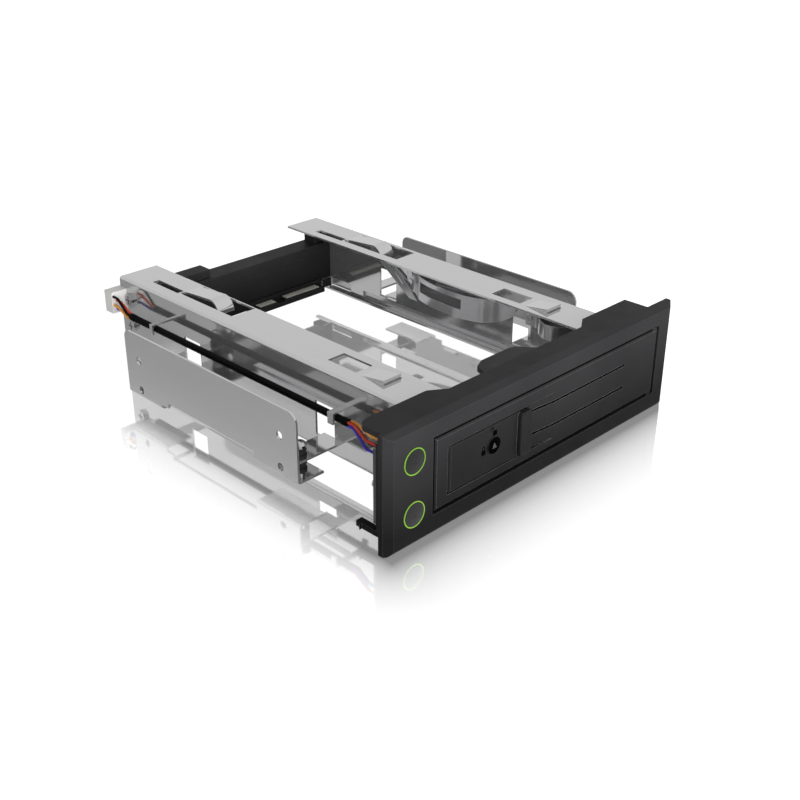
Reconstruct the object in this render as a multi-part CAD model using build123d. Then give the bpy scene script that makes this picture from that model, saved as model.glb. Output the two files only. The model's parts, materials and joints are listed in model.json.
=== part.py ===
from build123d import *
import os
from math import cos, radians, sin, tan

# Drive cage that takes one bare 3.5 inch drive and fills one 5.25 inch bay.
# Millimetres, +X to the right seen from the front, +Y towards the rear, +Z up.
# While modelling, y = 0 is the back of the front bezel and z = 0 its bottom edge.
# At the end every piece is moved along Y, so the origin is the centre of the footprint.

# The drive that the cage takes
DRIVE_WIDTH = 101.6
DRIVE_SIDE_GAP = 0.4

# Bay standard
BODY_WIDTH = 146.0
BODY_HALF = BODY_WIDTH / 2
SIDE_HOLE_YS = (47.4, 126.65)
SIDE_HOLE_ZS = (11.0, 22.84)
SIDE_HOLE_R = 1.5

# Front bezel
BEZEL_WIDTH = BODY_WIDTH + 3.4
BEZEL_HALF = BEZEL_WIDTH / 2
BEZEL_HEIGHT = 42.0
BEZEL_THICK = 4.0
SIDE_SLOPE = 2.8
SIDE_SLOPE_DEPTH = 2.0
TOP_SLOPE = 1.7
TOP_SLOPE_DEPTH = 2.4
BOTTOM_SLOPE = 1.6
BOTTOM_SLOPE_DEPTH = 1.2
HOOD_THICK = 2.0
HOOD_DEPTH = 6.0
WING_DEPTH = 10.0
TAB_DEPTH = 14.1
TAB_TILT = 8.0
SKIRT_DEPTH = 2.4
LUG_WIDTH = 2.5

# Rear bracket
BRACKET_REAR = 168.8
PANEL_Y = BRACKET_REAR - 9.3
PANEL_THICK = 2.0
PANEL_BOTTOM = 10.6
DRIVE_REAR = PANEL_Y - 1.0
REAR_SCREW_Y = PANEL_Y + 2.0

# Sheet steel cage
SHEET = 0.8
BEND_R = 1.2
WALL_INNER = DRIVE_WIDTH / 2 + DRIVE_SIDE_GAP
WALL_OUTER = WALL_INNER + SHEET
SIDE_SPACE = BODY_HALF - WALL_OUTER
RAIL_FRONT = 1.0
RAIL_REAR = BRACKET_REAR - 0.6
RAIL_TOP = BEZEL_HEIGHT - 3.2
RAIL_BOTTOM = 7.8
FLANGE_INNER = 34.5
LEDGE_WIDTH = 2.0
BEZEL_SCREW_Y = 4.6
BEZEL_SCREW_Z = RAIL_TOP - 2.6

# Bracket heights follow the rails
BAR_TOP = RAIL_TOP - 8.8
END_BLOCK_TOP = RAIL_TOP - 5.1
REAR_SCREW_ZS = (END_BLOCK_TOP - 2.8, 20.0)

# Openings of the rails
TONGUE_WIDTH = 7.4
TONGUE_ROOT = 136.0
TONGUE_TIP = 121.6
TONGUE_CURL_R = 5.0
TONGUE_LIFT = 1.3
TONGUE_SHIFT = 2.7
TONGUE_SIDE_GAP = 0.8
TONGUE_WIDE_GAP = 2.4
TONGUE_OPEN_END = 105.2
SLOT_WIDTH = 3.0
SLOT_LENGTH = 16.4
PAD_RISE = 1.5
WINDOW_BOTTOM = 13.0
WINDOW_TOP = RAIL_TOP - 12.8
FRONT_WINDOW = (43.9, 53.4)
REAR_WINDOW = (117.5, 127.3)

# Webs that carry the rubber mounts
WEB_Z = 15.1
WEB_END = BODY_HALF - 1.2
WEB_FRONT = (38.8, 48.0)
WEB_REAR = (128.4, 134.6)
WEB_NECK = 3.8

# Leaf springs riveted to the right wall
LEAF_THICK = 0.4
RIVET_R = 0.8
RIVETS = ((108.6, 25.0), (108.6, 28.5), (44.3, 27.7))
STOP_TOP = RAIL_TOP - 5.8
STOP_TILT = 9.0

# Outer mounting plates
PLATE_FRONT = 38.8
PLATE_REAR = 134.6
PLATE_BOTTOM = 7.6
PLATE_TOP = RAIL_TOP - 5.4
FOOT_END = BODY_HALF - 11.3
FOOT_CUT_FRONT = 61.4
FOOT_CUT_REAR = 114.0
FOOT_CUT_TOP = 11.4
PLATE_CORNER_R = 4.0
PLATE_REAR_CORNER_R = 3.0

# Rubber mounted shoulder screws
DAMPER_X = BODY_HALF - 3.6
DAMPER_YS = (41.6, 131.5)
DAMPER_BOTTOM = 10.6
DAMPER_TOP = 19.8
RUBBER_R = 2.3
HEAD_R = 2.5
SCREW_R = 1.5
SCREW_PLAY = 0.1

# Door
DOOR_LEFT = -WALL_OUTER - 2.5
HINGE_X = WALL_OUTER + 0.543 * SIDE_SPACE
HINGE_Y = -2.4
DOOR_RIGHT = HINGE_X + 2.0
DOOR_BOTTOM = 7.7
DOOR_TOP = BEZEL_HEIGHT - 7.4
DOOR_SKIN = 3.0
DOOR_GAP = 0.4
DOOR_BEVEL = 1.3
HINGE_PIN_R = 0.8
RUN_CLEAR = 0.05
KNUCKLE_R = 1.6
KEEPER_EDGE = DOOR_LEFT + 2.3

# Latch handle and its lock
LATCH_PIVOT_X = DOOR_LEFT + 7.7
LATCH_PIVOT_Y = -2.9
LATCH_END_R = 1.1
LATCH_PIN_R = 0.6
LATCH_RIGHT = LATCH_PIVOT_X + 38.7
LATCH_BOTTOM = 12.2
LATCH_TOP = DOOR_TOP - 5.7
LATCH_BACK = -1.8
FINGER_BAR = (LATCH_RIGHT - 8.5, LATCH_RIGHT - 1.7)
FINGER_BAR_RISE = 2.0
FINGER_BAR_R = 0.8
FINGER_BAR_END_R = 2.4
SCOOP_FLOOR = -2.8
SCOOP_EDGE = LATCH_RIGHT + 13.1
GROOVE_WIDTH = 0.9
GROOVE_DEPTH = 0.9
GROOVE_END = DOOR_RIGHT - 20.2
LOCK_X = LATCH_RIGHT - 18.3
LOCK_Z = (LATCH_BOTTOM + LATCH_TOP) / 2 + 0.65
LOCK_R = 2.5
LOCK_HOLE_R = 4.6

# Ejector linkage
CRANK_R = 7.5
CRANK_ANGLE = 130.0
EJECT_PIN_R = 1.0
LINK_REAR = (WALL_OUTER + 5.5, 29.0)
LINK_Z = 13.1
LINK_THICK = 1.2
LINK_EYE_R = 2.2
SLIDER_IN = WALL_OUTER + 0.05
SLIDER_OUT = SLIDER_IN + 1.0
SLIDER_BOTTOM = 9.3
SLIDER_TOP = 12.9
SLIDER_FRONT = 22.0
PUSHER_Y = DRIVE_REAR + 0.3

# Front buttons and their board
BUTTON_X = -WALL_OUTER - 0.5286 * SIDE_SPACE
BUTTON_ZS = (BEZEL_HEIGHT - 11.9, 11.4)
RING_OUTER_R = 4.55
RING_INNER_R = 4.2
CAP_R = 4.1
BOARD_XS = (-BODY_HALF + 2.0, -WALL_OUTER - 3.2)
BOARD_YS = (4.6, 5.8)
BOARD_SCREW_XS = (-WALL_OUTER - 6.3, -BODY_HALF + 4.1)
BOARD_SCREW_Z = 20.7

# Cable along the left side
SLEEVE_X = -WALL_OUTER - 5.6
SLEEVE_Z = 27.8
SLEEVE_R = 1.3
REAR_PLUG = (BRACKET_REAR - 4.9, BRACKET_REAR)
SLEEVE_FRONT = 30.2
SLEEVE_REAR = REAR_PLUG[0] - 10.7
HOOK_Z = 29.2
HOOK_THICK = 0.8
HOOK_DROP = 4.2
WIRE_R = 0.5
WIRE_STEP = 0.65
REAR_PLUG_PINS = (33.2, 31.4, 29.6, 27.8)
FRONT_PLUG_PINS = (26.7, 28.2, 29.7, 25.2)
FRONT_PLUG_Z = (24.0, 31.0)


# General shapes
def block(x0, x1, y0, y1, z0, z1):
    box = Box(abs(x1 - x0), abs(y1 - y0), abs(z1 - z0))
    return Pos((x0 + x1) / 2, (y0 + y1) / 2, (z0 + z1) / 2) * box


def side_block(side, a0, a1, y0, y1, z0, z1):
    return block(side * a0, side * a1, y0, y1, z0, z1)


def rod_x(x0, x1, y, z, r):
    bar = Rot(0, 90, 0) * Cylinder(r, abs(x1 - x0))
    return Pos((x0 + x1) / 2, y, z) * bar


def rod_y(x, y0, y1, z, r):
    bar = Rot(90, 0, 0) * Cylinder(r, abs(y1 - y0))
    return Pos(x, (y0 + y1) / 2, z) * bar


def rod_z(x, y, z0, z1, r):
    return Pos(x, y, (z0 + z1) / 2) * Cylinder(r, abs(z1 - z0))


def plan_solid(points, z0, z1):
    face = make_face(Polyline(*points, close=True))
    return extrude(Pos(0, 0, z0) * face, z1 - z0)


def front_face(face, y0, y1):
    # A face drawn in x and z, made solid from y0 to y1
    plane = Plane(origin=(0, y1, 0), x_dir=(1, 0, 0), z_dir=(0, -1, 0))
    return extrude(plane * face, y1 - y0)


def front_solid(points, y0, y1):
    return front_face(make_face(Polyline(*points, close=True)), y0, y1)


def side_solid(points, x0, x1):
    # An outline drawn in y and z, made solid from x0 to x1
    face = make_face(Polyline(*points, close=True))
    plane = Plane(origin=(x0, 0, 0), x_dir=(0, 1, 0), z_dir=(1, 0, 0))
    return extrude(plane * face, x1 - x0)


def bent_sheet(points, y0, y1, bend_r=BEND_R, thick=SHEET):
    # A folded sheet whose outer line is given in x and z
    line = FilletPolyline(*points, radius=bend_r)
    edges = offset(line, amount=thick, side=Side.LEFT)
    return front_face(make_face(edges.edges()), y0, y1)


def bent_strip(points, z0, z1, bend_r, thick):
    # A folded strip whose line is given in x and y
    line = FilletPolyline(*points, radius=bend_r)
    edges = offset(line, amount=thick, side=Side.RIGHT)
    return extrude(Pos(0, 0, z0) * make_face(edges.edges()), z1 - z0)


def ring_y(x, y0, y1, z, outer, inner):
    return rod_y(x, y0, y1, z, outer) - rod_y(x, y0 - 1, y1 + 1, z, inner)


def ring_z(x, y, z0, z1, outer, inner):
    return rod_z(x, y, z0, z1, outer) - rod_z(x, y, z0 - 1, z1 + 1, inner)


def dome_z(x, y, z, r, height):
    # A low rounded cap standing on height z
    radius = (r * r + height * height) / (2 * height)
    ball = Pos(x, y, z + height - radius) * Sphere(radius)
    return ball & block(x - r, x + r, y - r, y + r, z, z + height)


def around_hinge(radius, angle):
    turn = radians(angle)
    return HINGE_X + radius * cos(turn), HINGE_Y + radius * sin(turn)


# Front bezel
def bezel_shell():
    half = BEZEL_HALF
    flat = half - SIDE_SLOPE
    front = -BEZEL_THICK
    slope_y = front + SIDE_SLOPE_DEPTH
    plan = [(-half, 0), (-half, slope_y), (-flat, front)]
    plan += [(flat, front), (half, slope_y), (half, 0)]
    top_y = front + TOP_SLOPE_DEPTH
    low_y = front + BOTTOM_SLOPE_DEPTH
    profile = [(0, 0), (low_y, 0), (front, BOTTOM_SLOPE)]
    profile += [(front, BEZEL_HEIGHT - TOP_SLOPE), (top_y, BEZEL_HEIGHT), (0, BEZEL_HEIGHT)]
    return plan_solid(plan, 0, BEZEL_HEIGHT) & side_solid(profile, -half, half)


def bezel_hood():
    z0 = BEZEL_HEIGHT - HOOD_THICK
    edge = BEZEL_HALF - 1.3
    wing = WALL_OUTER + 10.7
    outline = [(-edge, -0.5), (-edge, 7.5), (-edge + 1.0, 9.2), (-edge + 3.8, WING_DEPTH)]
    outline += [(-43.7, WING_DEPTH), (-37.5, HOOD_DEPTH), (30.8, HOOD_DEPTH)]
    outline += [(36.8, WING_DEPTH), (wing, WING_DEPTH), (wing, -0.5)]
    hood = plan_solid(outline, z0, BEZEL_HEIGHT)
    return hood + hood_tab()


def hood_tab():
    # Middle tab of the hood, which slopes down from a crease
    plan = [(-20.9, 5.0), (-20.9, HOOD_DEPTH), (-17.5, 11.8), (-12.9, TAB_DEPTH)]
    plan += [(1.35, TAB_DEPTH), (3.9, 12.6), (6.3, HOOD_DEPTH), (6.3, 5.0)]
    drop = (TAB_DEPTH - HOOD_DEPTH) * tan(radians(TAB_TILT))
    low = BEZEL_HEIGHT - HOOD_THICK
    profile = [(5.0, BEZEL_HEIGHT), (HOOD_DEPTH, BEZEL_HEIGHT), (TAB_DEPTH, BEZEL_HEIGHT - drop)]
    profile += [(TAB_DEPTH, low - drop), (HOOD_DEPTH, low), (5.0, low)]
    return plan_solid(plan, low - 3, BEZEL_HEIGHT + 1) & side_solid(profile, -21, 7)


def bezel_fixings(side):
    # Skirt, snap hook, pad on the rail and screw lug of one side
    edge = BEZEL_HALF
    high = BEZEL_HEIGHT - 1
    parts = side_block(side, edge - 3.3, edge - 1.5, -0.5, SKIRT_DEPTH, 7.0, high - 3.5)
    parts += side_block(side, edge - 4.7, edge - 2.2, -0.5, 12.0, 4.4, 6.4)
    barb = [(side * (edge - 3.1), 12.0), (side * (edge - 1.1), 9.4), (side * (edge - 3.1), 9.4)]
    parts += plan_solid(barb, 4.4, 6.4)
    parts += side_block(side, 39.0, 45.0, -0.5, HOOD_DEPTH, RAIL_TOP, high)
    lug = WALL_OUTER + LUG_WIDTH
    parts += side_block(side, WALL_OUTER, lug, -0.5, 9.0, RAIL_TOP - 7.0, high)
    return parts


def hinge_pin_rod():
    return rod_z(HINGE_X, HINGE_Y, DOOR_BOTTOM - 2.7, DOOR_TOP + 2.7, HINGE_PIN_R)


def board_boss(x):
    return rod_y(x, -0.5, BOARD_YS[0], BOARD_SCREW_Z, 1.8)


def front_bezel():
    body = bezel_shell() + bezel_hood()
    for side in (-1, 1):
        body += bezel_fixings(side)
    left = DOOR_LEFT - DOOR_GAP
    right = DOOR_RIGHT + DOOR_GAP
    low = DOOR_BOTTOM - DOOR_GAP
    high = DOOR_TOP + DOOR_GAP
    body += block(DOOR_LEFT - 2.5, KEEPER_EDGE, -0.5, 2.0, low - 1, high)
    body -= block(KEEPER_EDGE, right, -6, 2.5, low, high)
    body -= block(left, KEEPER_EDGE + 1, -6, -0.9, low, high)
    for x in BOARD_SCREW_XS:
        body += board_boss(x)
        body -= rod_y(x, 1.6, 6, BOARD_SCREW_Z, 0.8)
    for z in BUTTON_ZS:
        body -= rod_y(BUTTON_X, -6, 1, z, RING_OUTER_R)
    body -= hinge_pin_rod()
    lug = WALL_OUTER + LUG_WIDTH + 1
    for side in (-1, 1):
        body -= rod_x(side * 50, side * lug, BEZEL_SCREW_Y, BEZEL_SCREW_Z, 1.1)
    return body


# Inner rails of the cage
def web(side, y0, y1, neck0, neck1, axis):
    start = WALL_OUTER + 1.0
    plate = side_block(side, start, WEB_END, y0, y1, WEB_Z, WEB_Z + SHEET)
    plate += side_block(side, WALL_INNER + 0.2, start, neck0, neck1, WEB_Z, WEB_Z + SHEET)
    hole = rod_z(side * DAMPER_X, axis, WEB_Z - 1, WEB_Z + 2, SCREW_R + SCREW_PLAY)
    return plate - hole


def tongue(x):
    half = TONGUE_WIDTH / 2
    top = RAIL_TOP + TONGUE_LIFT
    points = [(TONGUE_ROOT + 1, RAIL_TOP), (TONGUE_TIP, top)]
    points += [(TONGUE_TIP, top - SHEET), (TONGUE_ROOT + 1, RAIL_TOP - SHEET)]
    flat = side_solid(points, x - half, x + half)
    z = top - TONGUE_CURL_R
    curl = rod_x(x - half, x + half, TONGUE_TIP, z, TONGUE_CURL_R)
    curl -= rod_x(x - half - 1, x + half + 1, TONGUE_TIP, z, TONGUE_CURL_R - SHEET)
    reach = TONGUE_TIP - TONGUE_CURL_R
    curl &= block(x - half, x + half, reach, TONGUE_TIP, z, top)
    return flat + curl


def ramp_pad(side):
    low = RAIL_TOP - SHEET
    points = [(36.9, low), (36.9, RAIL_TOP), (26.6, RAIL_TOP + PAD_RISE), (26.6, low + 0.2)]
    x0, x1 = sorted((side * 38.0, side * 46.0))
    return side_solid(points, x0, x1)


def rail(side):
    line = [(FLANGE_INNER, RAIL_TOP), (WALL_OUTER, RAIL_TOP)]
    line += [(WALL_OUTER, RAIL_BOTTOM), (WALL_INNER - LEDGE_WIDTH, RAIL_BOTTOM)]
    points = [(side * x, z) for x, z in line]
    if side > 0:
        points.reverse()
    body = bent_sheet(points, RAIL_FRONT, RAIL_REAR)
    middle = side * 42.25
    low = RAIL_TOP - 2
    high = RAIL_TOP + 1
    cut = side_block(side, 38.2, 45.8, 39.6, 53.6, low, high)
    cut += side_block(side, 38.0, 46.0, 26.0, 36.5, low, high)
    slot_x = middle + TONGUE_SHIFT
    near = slot_x - TONGUE_WIDTH / 2 - TONGUE_WIDE_GAP
    far = slot_x + TONGUE_WIDTH / 2 + TONGUE_SIDE_GAP
    cut += block(near, far, TONGUE_OPEN_END, TONGUE_ROOT, low, high)
    cut += rod_z(near + 1.1, TONGUE_ROOT, low, high, 1.1)
    slot_y = TONGUE_ROOT + 1.7
    slot_mid = near + 0.9
    cut += block(slot_mid - SLOT_WIDTH / 2, slot_mid + SLOT_WIDTH / 2,
                 slot_y, slot_y + SLOT_LENGTH, low, high)
    wall = WALL_OUTER + 1
    for y0, y1 in (FRONT_WINDOW, REAR_WINDOW):
        cut += side_block(side, WALL_INNER - 0.7, wall, y0, y1, WINDOW_BOTTOM, WINDOW_TOP)
    cut += rod_x(side * 50, side * wall, BEZEL_SCREW_Y, BEZEL_SCREW_Z, 1.1)
    for z in REAR_SCREW_ZS:
        cut += rod_x(side * 50, side * wall, REAR_SCREW_Y, z, 1.25)
    body -= cut
    body += tongue(slot_x) + ramp_pad(side)
    body += web(side, *WEB_FRONT, WEB_FRONT[0], WEB_FRONT[0] + WEB_NECK, DAMPER_YS[0])
    body += web(side, *WEB_REAR, *WEB_REAR, DAMPER_YS[1])
    return body


def left_rail():
    # The left rail carries a narrow shelf and two hooks over the loom
    body = rail(-1)
    top = HOOK_Z + HOOK_THICK
    body += block(-WALL_OUTER - 1.4, -WALL_OUTER + 0.2, 38.7, 84.0, HOOK_Z - 0.6, HOOK_Z)
    reach = SLEEVE_X - SLEEVE_R - 0.1
    for y0, y1 in ((36.0, 38.6), (136.4, 138.0)):
        body += block(reach - HOOK_THICK, -WALL_OUTER + 0.2, y0, y1, HOOK_Z, top)
        body += block(reach - HOOK_THICK, reach, y0, y1, top - HOOK_DROP, top)
    return body - block(-53, -50, 0, 8.0, 14.0, 27.0)


def slider_guide(y0, y1):
    x1 = SLIDER_OUT + 0.1 + SHEET
    guide = block(WALL_OUTER - 0.2, x1, y0, y1, SLIDER_BOTTOM - 0.9, SLIDER_TOP + 0.9)
    return guide - block(WALL_OUTER, x1 - SHEET, y0, y1, SLIDER_BOTTOM - 0.1, SLIDER_TOP + 0.1)


def right_rail():
    body = rail(1)
    body += slider_guide(60.0, 68.0) + slider_guide(107.5, 115.5)
    body -= block(50.5, WALL_OUTER, 56.0, 138.0, 9.9, 12.3)
    body -= block(50.5, 52.5, PANEL_Y - 13.5, PANEL_Y + 2.5, 9.1, 13.1)
    for y, z in RIVETS:
        body -= rod_x(50, 53, y, z, RIVET_R)
    return body


# Outer mounting plates
def plate_corner(side, edge, inward, r):
    # What a rounded upper corner leaves out of the plate
    middle = edge + inward * r
    x0 = BODY_HALF - 1
    x1 = BODY_HALF + 1
    corner = side_block(side, x0, x1, edge - inward, middle, PLATE_TOP - r, PLATE_TOP + 1)
    return corner - rod_x(side * (x0 - 1), side * (x1 + 1), middle, PLATE_TOP - r, r)


def side_plate(side):
    line = [(FOOT_END, PLATE_BOTTOM), (BODY_HALF, PLATE_BOTTOM)]
    line += [(BODY_HALF, PLATE_TOP)]
    points = [(side * x, z) for x, z in line]
    if side < 0:
        points.reverse()
    body = bent_sheet(points, PLATE_FRONT, PLATE_REAR)
    x0 = FOOT_END - 1
    x1 = BODY_HALF + 1
    body -= side_block(side, x0, x1, FOOT_CUT_FRONT, FOOT_CUT_REAR - 4, 5, FOOT_CUT_TOP)
    body -= side_block(side, x0, x1, FOOT_CUT_REAR - 4, FOOT_CUT_REAR, 5, FOOT_CUT_TOP - 2)
    body -= plate_corner(side, PLATE_FRONT, 1, PLATE_CORNER_R)
    body -= plate_corner(side, PLATE_REAR, -1, PLATE_REAR_CORNER_R)
    for y in SIDE_HOLE_YS:
        for z in SIDE_HOLE_ZS:
            body -= rod_x(side * (BODY_HALF - 2), side * x1, y, z, SIDE_HOLE_R)
    for y in DAMPER_YS:
        body -= rod_z(side * DAMPER_X, y, 6, 9, SCREW_R)
    return body


def damper_bushings(side):
    solids = []
    x = side * DAMPER_X
    for y in DAMPER_YS:
        for z0, z1 in ((DAMPER_BOTTOM, WEB_Z), (WEB_Z + SHEET, DAMPER_TOP)):
            bush = ring_z(x, y, z0, z1, RUBBER_R, SCREW_R + SCREW_PLAY)
            middle = (z0 + z1) / 2
            bush -= ring_z(x, y, middle - 0.8, middle + 0.8, RUBBER_R + 1, RUBBER_R - 0.4)
            solids.append(bush)
    return solids


def damper_spacers():
    solids = []
    for side in (-1, 1):
        for y in DAMPER_YS:
            x = side * DAMPER_X
            z = PLATE_BOTTOM + SHEET
            solids.append(ring_z(x, y, z, DAMPER_BOTTOM, 2.0, SCREW_R + SCREW_PLAY))
    return solids


def cross_cut(x, y, z0, z1, length=3.2, width=0.8):
    cut = block(x - length / 2, x + length / 2, y - width / 2, y + width / 2, z0, z1)
    return cut + block(x - width / 2, x + width / 2, y - length / 2, y + length / 2, z0, z1)


def damper_screws():
    solids = []
    for side in (-1, 1):
        for y in DAMPER_YS:
            x = side * DAMPER_X
            top = DAMPER_TOP + 0.9
            screw = rod_z(x, y, PLATE_BOTTOM, DAMPER_TOP + 0.2, SCREW_R)
            screw += rod_z(x, y, DAMPER_TOP, top, HEAD_R) + dome_z(x, y, top, HEAD_R, 1.2)
            solids.append(screw - cross_cut(x, y, top + 0.3, top + 2, 2.6, 0.6))
    return solids


# Rear bracket, board and connectors
def rear_bracket():
    inner = WALL_INNER
    rear = PANEL_Y + PANEL_THICK
    body = block(-inner, inner, PANEL_Y, rear, PANEL_BOTTOM, BAR_TOP)
    body += block(-inner, inner, PANEL_Y, BRACKET_REAR, BAR_TOP - 2, BAR_TOP)
    for side in (-1, 1):
        body += side_block(side, inner - 3, inner, PANEL_Y, BRACKET_REAR, PANEL_BOTTOM, END_BLOCK_TOP)
    step = PANEL_Y + 2.5
    body += block(-inner, -13.0, step, BRACKET_REAR, BAR_TOP - 1, END_BLOCK_TOP - 0.7)
    body += block(44.5, inner, step, BRACKET_REAR, BAR_TOP - 1, END_BLOCK_TOP)
    body -= block(-inner + 6, inner - 6, PANEL_Y - 1, PANEL_Y + 0.6, 24.9, 25.5)
    body -= block(3.8, 44.2, PANEL_Y - 0.5, step, 8, 14.2)
    body -= block(45.4, 52, PANEL_Y - 0.5, PANEL_Y + 2.7, 10, 13.3)
    for side in (-1, 1):
        for z in REAR_SCREW_ZS:
            body -= rod_x(side * 47, side * 53, REAR_SCREW_Y, z, 1.22)
    return body


def backplane_board():
    y0 = PANEL_Y + PANEL_THICK
    return block(-46.0, 45.0, y0, y0 + 1.6, 9.4, BAR_TOP - 2)


def sata_receptacle():
    y0 = PANEL_Y - 4.0
    y1 = PANEL_Y + 2.0
    body = block(4.0, 44.0, y0, y1, 9.0, 10.9)
    body += block(4.0, 44.0, PANEL_Y - 0.8, y1, 9.0, 14.0)
    for x0, x1 in ((6.2, 17.0), (21.0, 43.4)):
        body += block(x0, x1, y0 + 0.1, PANEL_Y - 0.5, 10.5, 11.9)
    return body


def receptacle_contacts():
    solids = []
    for x0, count in ((7.1, 7), (21.9, 15)):
        for i in range(count):
            x = x0 + 1.27 * i + (0.1 if count == 7 else 0.2)
            solids.append(block(x, x + 0.9, PANEL_Y - 3.8, PANEL_Y - 0.8, 11.9, 12.2))
    return solids


def rear_port(x0, x1, z0, z1, tongue_x0, tongue_x1):
    y0 = PANEL_Y + PANEL_THICK + 1.6
    body = block(x0, x1, y0, y0 + 5.0, z0, z1)
    body -= block(x0 + 1, x1 - 1, y0 + 1, y0 + 6, z0 + 1, z1 - 1)
    middle = (z0 + z1) / 2
    return body + block(tongue_x0, tongue_x1, y0 + 0.5, y0 + 4.6, middle - 0.6, middle + 0.6)


def rear_data_port():
    return rear_port(24.0, 40.0, 15.0, 21.0, 26.5, 37.5)


def rear_power_port():
    return rear_port(-14.0, 14.0, 15.0, 21.5, -11.5, 11.5)


def side_screw(side, head_in, tip, y, z, shank_r, head_r, head_h):
    x0 = side * head_in
    x1 = side * (head_in + head_h)
    screw = rod_x(side * tip, x0, y, z, shank_r) + rod_x(x0, x1, y, z, head_r)
    slot = side_block(side, head_in + head_h / 2, head_in + head_h + 1,
                      y - head_r * 0.7, y + head_r * 0.7, z - 0.35, z + 0.35)
    cross = side_block(side, head_in + head_h / 2, head_in + head_h + 1,
                       y - 0.35, y + 0.35, z - head_r * 0.7, z + head_r * 0.7)
    return screw - slot - cross


def rear_screws():
    solids = []
    for side in (-1, 1):
        for z in REAR_SCREW_ZS:
            solids.append(side_screw(side, WALL_OUTER, 48.8, REAR_SCREW_Y, z, 1.2, 2.4, 1.3))
    return solids


def bezel_screws():
    head = WALL_OUTER + LUG_WIDTH
    y, z = BEZEL_SCREW_Y, BEZEL_SCREW_Z
    return [side_screw(side, head, WALL_INNER, y, z, 1.1, 2.0, 1.2) for side in (-1, 1)]


# Loom on the left side
def wire(points, bend_r):
    line = FilletPolyline(*points, radius=bend_r)
    start = line @ 0
    face = Plane(origin=start, z_dir=line % 0) * Circle(WIRE_R)
    return sweep(face, path=line)


def cable_plug_rear():
    y0, y1 = REAR_PLUG
    x0 = -WALL_OUTER - 7.0
    body = block(x0, -WALL_OUTER, y0, y1, 26.2, RAIL_TOP - 3.9)
    body -= block(x0 + 0.8, x0 + 5.0, y1 - 1.8, y1 + 1, 27.1, RAIL_TOP - 4.8)
    return body


def cable_sleeve():
    return rod_y(SLEEVE_X, SLEEVE_FRONT, SLEEVE_REAR, SLEEVE_Z, SLEEVE_R)


WIRE_NAMES = ("wire_black", "wire_red", "wire_orange", "wire_blue")


def loom_wire(index):
    # The stretch behind the sleeve and the stretch in front of it
    x = SLEEVE_X + (-WIRE_STEP, WIRE_STEP, -WIRE_STEP, WIRE_STEP)[index]
    z = SLEEVE_Z + (WIRE_STEP, WIRE_STEP, -WIRE_STEP, -WIRE_STEP)[index]
    plug_y = REAR_PLUG[0]
    plug_z = REAR_PLUG_PINS[index]
    rear = [(x, SLEEVE_REAR, z), (x, SLEEVE_REAR + 2, z)]
    rear += [(x, plug_y - 3, plug_z), (x, plug_y, plug_z)]
    x = SLEEVE_X + (WIRE_STEP, -WIRE_STEP, WIRE_STEP, -WIRE_STEP)[index]
    z = SLEEVE_Z + (-WIRE_STEP, WIRE_STEP, WIRE_STEP, -WIRE_STEP)[index]
    pin_z = FRONT_PLUG_PINS[index]
    end_x = x - 3.9
    front = [(x, SLEEVE_FRONT, z), (x, SLEEVE_FRONT - 2.5, z)]
    front += [(end_x, 18.0, pin_z), (end_x, 11.0, pin_z)]
    return [wire(rear, 1.8), wire(front, 2.4)]


def front_board():
    board = block(*BOARD_XS, *BOARD_YS, 7.5, BEZEL_HEIGHT - 8.2)
    for x in BOARD_SCREW_XS:
        board -= rod_y(x, 4, 7, BOARD_SCREW_Z, 0.95)
    return board


def board_screws():
    solids = []
    z = BOARD_SCREW_Z
    top = BOARD_YS[1] + 1.2
    for x in BOARD_SCREW_XS:
        screw = rod_y(x, 1.6, 5.9, z, 0.8) + rod_y(x, BOARD_YS[1], top, z, 1.6)
        solids.append(screw - block(x - 1.2, x + 1.2, top - 0.6, top + 1, z - 0.3, z + 0.3))
    return solids


def board_connector():
    z0, z1 = FRONT_PLUG_Z
    x = SLEEVE_X - 3.9
    body = block(x - 2.3, x + 2.3, BOARD_YS[1], 11.0, z0, z1)
    return body - block(x - 1.7, x + 1.7, 9.6, 12.0, z1 - 0.6, z1 + 1)


def button_switches():
    solids = []
    for z in BUTTON_ZS:
        switch = block(BUTTON_X - 3, BUTTON_X + 3, 3.3, 4.6, z - 3, z + 3)
        solids.append(switch + rod_y(BUTTON_X, 3.0, 3.4, z, 1.6))
    return solids


def light_ring(z):
    ring = ring_y(BUTTON_X, -4.2, 1.0, z, RING_OUTER_R, RING_INNER_R)
    return ring + ring_y(BUTTON_X, 0, 1.0, z, 5.4, RING_INNER_R)


def button(z):
    cap = rod_y(BUTTON_X, -4.2, 1.2, z, CAP_R)
    dome = dome_z(0, 0, 0, CAP_R, 0.3)
    cap += Pos(BUTTON_X, -4.2, z) * Rot(90, 0, 0) * dome
    cap += rod_y(BUTTON_X, 1.05, 1.75, z, 5.0)
    return cap + rod_y(BUTTON_X, 1.5, 2.15, z, 1.0)


# Leaf springs on the right wall
def long_side_spring():
    inner = WALL_INNER
    points = [(inner, 110.6), (inner, 104.5), (inner - 5.8, 97.0), (inner - 8.1, 70.0)]
    points += [(inner - 7.4, 62.5), (inner - 0.1, 56.0)]
    leaf = bent_strip(points, 22.5, 31.0, 6.5, LEAF_THICK)
    for y, z in RIVETS[:2]:
        leaf -= rod_x(49, 53, y, z, RIVET_R)
    return leaf


def short_side_spring():
    inner = WALL_INNER
    points = [(inner, 46.2), (inner, 40.3), (inner - 6.6, 34.5), (inner - 5.4, 29.5)]
    points += [(inner - 0.1, 23.5)]
    leaf = bent_strip(points, 25.0, 30.5, 4.0, LEAF_THICK)
    y, z = RIVETS[2]
    return leaf - rod_x(49, 53, y, z, RIVET_R)


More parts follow.
